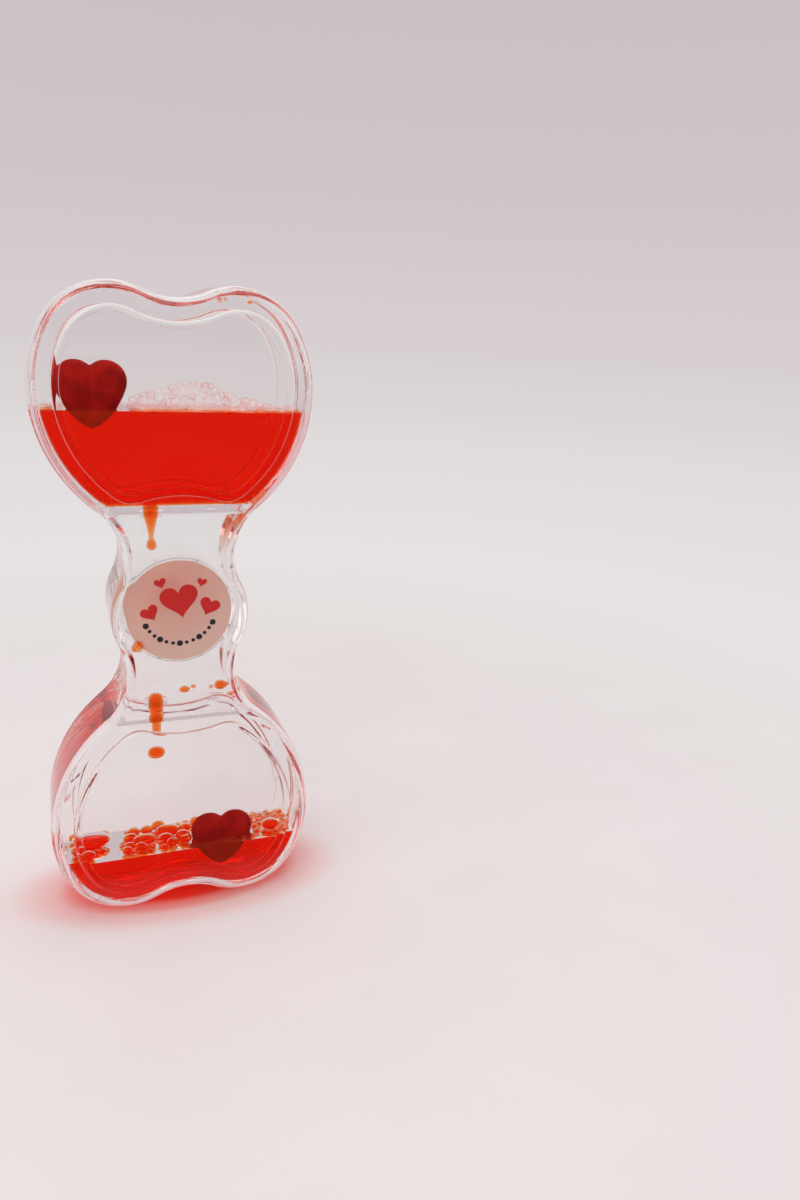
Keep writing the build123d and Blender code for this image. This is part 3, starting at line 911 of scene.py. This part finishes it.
beads = []
for _ in range(420):
    x, r = chance.uniform(-BEAD_REACH_X, BEAD_REACH_X), chance.uniform(0.25, 0.62)
    y = chance.uniform(BEAD_FRONT, BEAD_BACK)
    if inside(x, y, UPPER_LEVEL, r) and clear_of(upper_heart_box, x, y, UPPER_LEVEL, r):
        z = UPPER_LEVEL + UPPER_SWELL + r * chance.uniform(-0.3, 0.5)
        beads.append(((x, y, z), (r * 1.2, r, r), 2, 0.1))
beads = drops_piece("surface_beads", beads, dyed, "upper_float")
foam = drops_piece("surface_foam", [((x, y, z), (r, r, r), 2 if r < 0.8 else 3, 0.06)
                                    for x, y, z, r in bubbles], film(), "upper_float")
for piece in (beads, foam):
    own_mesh(piece)


# Print on the front label
INK_Y = WHEEL_FRONT - LABEL_THICKNESS - LABEL_GAP
LABEL_HEARTS = ((0.2, 1.9, 8.4, 0.16), (-6.2, -0.4, 4.0, 0.5), (6.5, 0.4, 4.6, -0.4),
                (-3.9, 6.4, 2.6, 0.3), (5.0, 6.2, 2.2, -0.25))
DOT_COUNT = 13
DOT_STEP = math.radians(10.5)
DOT_ARC_RADIUS = 8.2
DOT_ARC_RISE = 0.6
SMALL_DOT, LARGE_DOT = 0.42, 0.68
DOT_CORNERS = 24
HEART_CORNERS = 64


def ink(name, low, high):
    mat, tree, out = new_material(name)
    colour = ramp(tree, noise_of(tree, 0.8), [(0.3, low), (0.7, high)])
    shader = add(tree, "ShaderNodeBsdfPrincipled", Base_Color=colour, Roughness=0.42,
                 Specular_IOR_Level=0.3)
    tree.links.new(shader.outputs[0], out.inputs[0])
    return mat


def heart_points(x, z, size, turn):
    """Outline of a plain heart about a middle, of a width of size."""
    points = []
    for k in range(HEART_CORNERS):
        t = TURN * k / HEART_CORNERS
        a = 16 * math.sin(t) ** 3 * size / 32
        b = (13 * math.cos(t) - 5 * math.cos(2 * t) - 2 * math.cos(3 * t)
             - math.cos(4 * t) + 2.5) * size / 32
        points.append((x + a * math.cos(turn) - b * math.sin(turn),
                       z + a * math.sin(turn) + b * math.cos(turn)))
    return points


def dot_points(k):
    """Outline of a dot on the arc, every third one a large one."""
    a = -TURN / 4 + (k - DOT_COUNT // 2) * DOT_STEP
    x, z = DOT_ARC_RADIUS * math.cos(a), DOT_ARC_RADIUS * math.sin(a) + DOT_ARC_RISE
    r = SMALL_DOT if k % 3 else LARGE_DOT
    return [(x + r * math.cos(TURN * i / DOT_CORNERS), z + r * math.sin(TURN * i / DOT_CORNERS))
            for i in range(DOT_CORNERS)]


def print_piece(name, shapes, material):
    bm = bmesh.new()
    for points in shapes:
        bm.faces.new([bm.verts.new((x, INK_Y, MIDDLE + z)) for x, z in points])
    bmesh.ops.triangulate(bm, faces=bm.faces)
    bmesh.ops.recalc_face_normals(bm, faces=bm.faces)
    printed = piece_from(name, bm, material, smooth=False)
    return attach(printed, "wheel")


red_ink = ink("red_ink", (0.54, 0.012, 0.010), (0.64, 0.020, 0.016))
black_ink = ink("black_ink", (0.010, 0.008, 0.008), (0.022, 0.018, 0.017))
print_piece("label_hearts", [heart_points(*heart) for heart in LABEL_HEARTS], red_ink)
print_piece("label_dots", [dot_points(k) for k in range(DOT_COUNT)], black_ink)


# Dye drawn into the weld between the shells
SEAM_LINES = ((0.55, 0.34, 1.0), (1.55, 0.26, 9.0))        # inset, width, seed
SEAM_PATCH = 7
SEAM_FOOT = 44                 # above the wheel's centre: the dye is thin below
SEAM_FADE = 14
SEAM_Y = 0.02                  # just behind the middle plane
THINNEST = 0.01


def stain_and_painted_line(name, deep, light, least, most):
    """Patchy colour between deep and light, that covers a least to a most share: real dye in
    the seam, painted red lines at the lower window's edge.
    """
    mat, tree, out = new_material(name)
    colour = ramp(tree, noise_of(tree, 1.5), [(0.3, deep), (0.7, light)])
    share = ranged(tree, noise_of(tree, 5.0), 0.42, 0.62, least, most)
    tree.links.new(mixed(tree, share, see_through(tree, (1, 1, 1, 1)),
                         spread(tree, colour)), out.inputs[0])
    return mat


def ribbon(bm, path, y, widths, closed=True):
    """Flat strip along a path of (x, z) about the wheel, at a depth of y."""
    sides = []
    last = len(path) - 1
    for i, ((x, z), width) in enumerate(zip(path, widths)):
        before = path[i - 1] if closed else path[max(i - 1, 0)]
        after = path[(i + 1) % len(path)] if closed else path[min(i + 1, last)]
        along = Vector((after[0] - before[0], after[1] - before[1])).normalized()
        across = Vector((-along.y, along.x)) * max(width, THINNEST) / 2
        sides.append([bm.verts.new((x + sign * across.x, y, z + sign * across.y + MIDDLE))
                      for sign in (-1, 1)])
    ends = sides[1:] + sides[:1] if closed else sides[1:]
    for (a, b), (c, d) in zip(sides, ends):
        bm.faces.new((a, b, d, c))


def faded(z, foot, height):
    """From 0 at a foot to 1 a height above it."""
    return max(0.0, min(1.0, (z - foot) / height))


def seam_width(x, z, most, seed):
    wet_and_painted_share = max(0.0, noise.noise(Vector((x / SEAM_PATCH, z / SEAM_PATCH, seed))) + 0.18)
    least_share = 0.16
    high = least_share + (1 - least_share) * faded(z, SEAM_FOOT, SEAM_FADE)
    return most * min(1.0, 2.2 * wet_and_painted_share) * high


bm = bmesh.new()
for inset, most, seed in SEAM_LINES:
    line = outline(BODY, inset, FINE_STEP)
    ribbon(bm, line, SEAM_Y, [seam_width(x, z, most, seed) for x, z in line])
stained = piece_from("seam_dye", bm, stain_and_painted_line("seam_stain", (0.50, 0.03, 0.02),
                                           (0.80, 0.16, 0.11), 0.15, 0.85))
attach(stained, "housing")


# Red lines painted along the lower window's inner edge, for the red liquid seen through that
# edge
PAINTED_RED_WIDTH = 0.5
PAINTED_RED_OFF = 0.06            # from the face
PAINTED_RED_OUT = 0.25            # from the window's inner wall into its side
PAINTED_RED_PATCH = 5
PAINTED_RED_FOOT = 20
PAINTED_RED_FADE = 14


def edge_width(x, z, seed):
    place = Vector((x / PAINTED_RED_PATCH, z / PAINTED_RED_PATCH, seed))
    wet_and_painted_share = 0.75 + 0.5 * noise.noise(place)
    return PAINTED_RED_WIDTH * wet_and_painted_share * faded(z + MIDDLE, PAINTED_RED_FOOT, PAINTED_RED_FADE)


# Painted light: dark red ribbons just inside the faces, where the red liquid shows bent in the
# window's edge.
bm = bmesh.new()
line = outline(LOWER_WINDOW, WINDOW_WALL - PAINTED_RED_OUT, FINE_STEP)
face = HALF_DEPTH - WALL - PAINTED_RED_OFF
for y in (-face, face):
    ribbon(bm, line, y, [edge_width(x, z, y) for x, z in line])
lower_window_painted_red = piece_from("lower_window_painted_red_lines", bm, stain_and_painted_line("window_painted_red", (0.30, 0.008, 0.006),
                                              (0.50, 0.03, 0.02), 0.5, 0.95))
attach(lower_window_painted_red, "housing")


# Film of dyed water on the neck's right wall, and in the weld beside it
FILM_LOW = 82.5
FILM_OFF = 0.08                # from the wall
FILM_FRONT, FILM_STEP, FILM_STEPS = -7.6, 2.2, 5
FILM_CLIMB = 3                 # of the strip in the weld, past the partition
FILM_THIN, FILM_SWELL = 0.1, 1.5


def wall_film():
    """Dyed film that thins out downwards."""
    mat, tree, out = new_material("wall_film")
    height = add(tree, "ShaderNodeSeparateXYZ", Vector=place_of(tree)).outputs["Z"]
    share = ranged(tree, height, FILM_LOW, UPPER_UNDER, 0.0, 1.0)
    tint = ramp(tree, share, [(0.0, (1, 1, 1)), (0.35, (1.0, 0.80, 0.72)),
                              (1.0, (0.98, 0.36, 0.20))], "EASE")
    tree.links.new(see_through(tree, tint), out.inputs[0])
    return mat


def right_wall(inset, top):
    """The neck's right side between the film's foot and a top."""
    return [(x, z) for x, z in outline(BODY, inset, 2 * FINE_STEP)
            if x > 0 and FILM_LOW < z + MIDDLE < top]


bm = bmesh.new()
rows = [[bm.verts.new((x, FILM_FRONT + FILM_STEP * k, z + MIDDLE))
         for k in range(FILM_STEPS + 1)]
        for x, z in right_wall(WALL + FILM_OFF, UPPER_UNDER - 0.1)]
for a, b in zip(rows, rows[1:]):
    for k in range(FILM_STEPS):
        bm.faces.new((a[k], a[k + 1], b[k + 1], b[k]))
line = right_wall(WALL / 2, UPPER_FLOOR + FILM_CLIMB)
shares = [i / (len(line) - 1) for i in range(len(line))]
ribbon(bm, line, SEAM_Y, [FILM_THIN + FILM_SWELL * math.sin(math.pi * share) ** 0.5
                          for share in shares], closed=False)
neck_film = piece_from("neck_film", bm, wall_film())
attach(neck_film, "housing")


# Stage: floor, light and camera
def linear(r, g, b):
    """A screen colour of 0 to 255 as linear light."""
    return tuple(c / 12.92 / 255 if c < 10.3 else ((c / 255 + 0.055) / 1.055) ** 2.4
                 for c in (r, g, b))


HORIZON = linear(214, 206, 209)
FLOOR_GAP = 0.03               # keeps the floor clear of the flats it carries
FLOOR_RADIUS = 6000
GLOW_HALF_WIDTH, GLOW_HALF_DEPTH = 26, 13.5        # of the red light painted on the floor at the foot


def floor_material():
    """Pale floor that runs into the pale background far away, with the red light of the dyed
    water painted on it round the foot.
    """
    mat, tree, out = new_material("pale_floor")
    place = add(tree, "ShaderNodeNewGeometry").outputs["Position"]
    paper = ramp(tree, noise_of(tree, 40.0, 2.0), [(0.3, (0.775, 0.735, 0.737)),
                                                   (0.7, (0.795, 0.757, 0.759))])
    # Painted light: the red glow that light through the dyed water throws on the floor, painted
    # into the floor's colour.
    foot = add(tree, "ShaderNodeMapping", Vector=place,
               Scale=(1 / (GLOW_HALF_WIDTH * MM), 1 / (GLOW_HALF_DEPTH * MM), 1)).outputs[0]
    near = ranged(tree, measure(tree, "LENGTH", foot), 0.0, 3.0, 0.0, 1.0)
    painted_red_glow = ramp(tree, near, [(0.22, (0.90, 0.07, 0.04)), (0.305, (0.97, 0.42, 0.38)),
                                  (0.385, (0.99, 0.78, 0.76)), (0.54, (1, 0.98, 0.98))],
                     "EASE")
    lit = add(tree, "ShaderNodeBsdfDiffuse",
              Color=mixed_colour(tree, 1.0, paper, painted_red_glow, "MULTIPLY"))
    far = measure(tree, "LENGTH", place)
    seen = ramp(tree, ranged(tree, far, 0.0, 6.0, 0.0, 1.0),
                [(0.03, linear(234, 230, 229)), (0.085, linear(227, 223, 224)),
                 (0.25, linear(219, 213, 213)), (0.9, HORIZON)])
    back = add(tree, "ShaderNodeEmission", Color=seen)
    fade = add(tree, "ShaderNodeMapRange", {"interpolation_type": "SMOOTHSTEP"},
               Value=far, From_Min=0.10, From_Max=0.36).outputs[0]
    shown = mixed(tree, fade, lit.outputs[0], back.outputs[0])
    # Mirrored in the plastic, the floor in front is as dark as the room is there
    front = add(tree, "ShaderNodeSeparateXYZ", Vector=place).outputs["Y"]
    front = ranged(tree, front, -0.030, -0.014, 0.97, 0.0)
    mirrored = maths(tree, "MULTIPLY", front,
                     add(tree, "ShaderNodeLightPath").outputs["Is Reflection Ray"])
    room = add(tree, "ShaderNodeEmission", Color=(0.02, 0.018, 0.018, 1))
    tree.links.new(mixed(tree, mirrored, shown, room.outputs[0]), out.inputs[0])
    return mat


floor_bm = bmesh.new()
bmesh.ops.create_circle(floor_bm, cap_ends=True, segments=96, radius=FLOOR_RADIUS)
bmesh.ops.translate(floor_bm, vec=(0, 0, -FLOOR_GAP), verts=floor_bm.verts)
floor = piece_from("floor", floor_bm, floor_material(), smooth=False)


def make_world():
    """Even studio light, and a pale background that darkens upwards."""
    world = bpy.data.worlds.new("studio")
    bpy.context.scene.world = world
    world.use_nodes = True
    tree = world.node_tree
    tree.nodes.clear()
    out = tree.nodes.new("ShaderNodeOutputWorld")
    way = add(tree, "ShaderNodeTexCoord").outputs["Generated"]
    parts = add(tree, "ShaderNodeSeparateXYZ", Vector=way)
    seen = ramp(tree, parts.outputs["Z"],
                [(0.0, HORIZON), (0.12, linear(208, 198, 202)),
                 (0.35, linear(200, 191, 195)), (1.0, linear(222, 217, 218))])
    path = add(tree, "ShaderNodeLightPath")
    front = ranged(tree, parts.outputs["Y"], -0.7, 0.1, 0.08, 1.0)
    front = add(tree, "ShaderNodeMix", {"data_type": "FLOAT"},
                Factor=path.outputs["Is Reflection Ray"], A=1.0, B=front).outputs[0]
    shown = add(tree, "ShaderNodeBackground", Color=seen, Strength=front)
    light = add(tree, "ShaderNodeBackground", Color=(0.80, 0.79, 0.79, 1), Strength=0.62)
    most = path.outputs["Is Camera Ray"]
    for kind in ("Is Glossy Ray", "Is Transmission Ray"):
        most = maths(tree, "MAXIMUM", most, path.outputs[kind])
    tree.links.new(mixed(tree, most, light.outputs[0], shown.outputs[0]), out.inputs[0])


make_world()


def softbox(name, place, target, size, power, colour=(1, 1, 1)):
    lamp = bpy.data.lights.new(name, "AREA")
    lamp.shape = "RECTANGLE"
    lamp.size, lamp.size_y = size
    lamp.energy = power
    lamp.color = colour
    obj = link(bpy.data.objects.new(name, lamp))
    obj.location = place
    way = Vector(target) - Vector(place)
    obj.rotation_mode = "QUATERNION"
    obj.rotation_quaternion = way.to_track_quat("-Z", "Y")


WARM = (1.0, 0.985, 0.98)
softbox("soft_top", (-0.05, 0.10, 0.75), (0, 0, 0.05), (0.7, 0.6), 2.2)
softbox("soft_left", (-0.65, -0.25, 0.40), (0, 0, 0.07), (0.5, 0.6), 0.9, WARM)
softbox("soft_right", (0.65, 0.05, 0.35), (0, 0, 0.07), (0.4, 0.6), 0.7, WARM)
softbox("soft_front", (-0.30, -0.55, 0.55), (0, 0, 0.07), (0.4, 0.4), 1.6)

right, up = Vector(CAMERA_RIGHT).normalized(), Vector(CAMERA_UP).normalized()
back = right.cross(up).normalized()
up = back.cross(right)
camera = link(bpy.data.objects.new("camera", bpy.data.cameras.new("camera")))
camera.matrix_world = Matrix.Translation(Vector(CAMERA_PLACE) * MM) @ Matrix(
    (right, up, back)).transposed().to_4x4()
camera.data.sensor_width = SENSOR
camera.data.lens = FOCAL_PIXELS / PHOTO_SIZE[1] * SENSOR
camera.data.shift_x = (PHOTO_SIZE[0] / 2 - MIDDLE_PIXEL[0]) / PHOTO_SIZE[1]
camera.data.shift_y = (MIDDLE_PIXEL[1] - PHOTO_SIZE[1] / 2) / PHOTO_SIZE[1]
camera.data.clip_start = 0.01
camera.data.clip_end = 50
bpy.context.scene.camera = camera

cycles = bpy.context.scene.cycles
cycles.max_bounces = 32
cycles.transmission_bounces = 32
cycles.glossy_bounces = 12
cycles.transparent_max_bounces = 96
bpy.context.scene.view_settings.view_transform = "Standard"
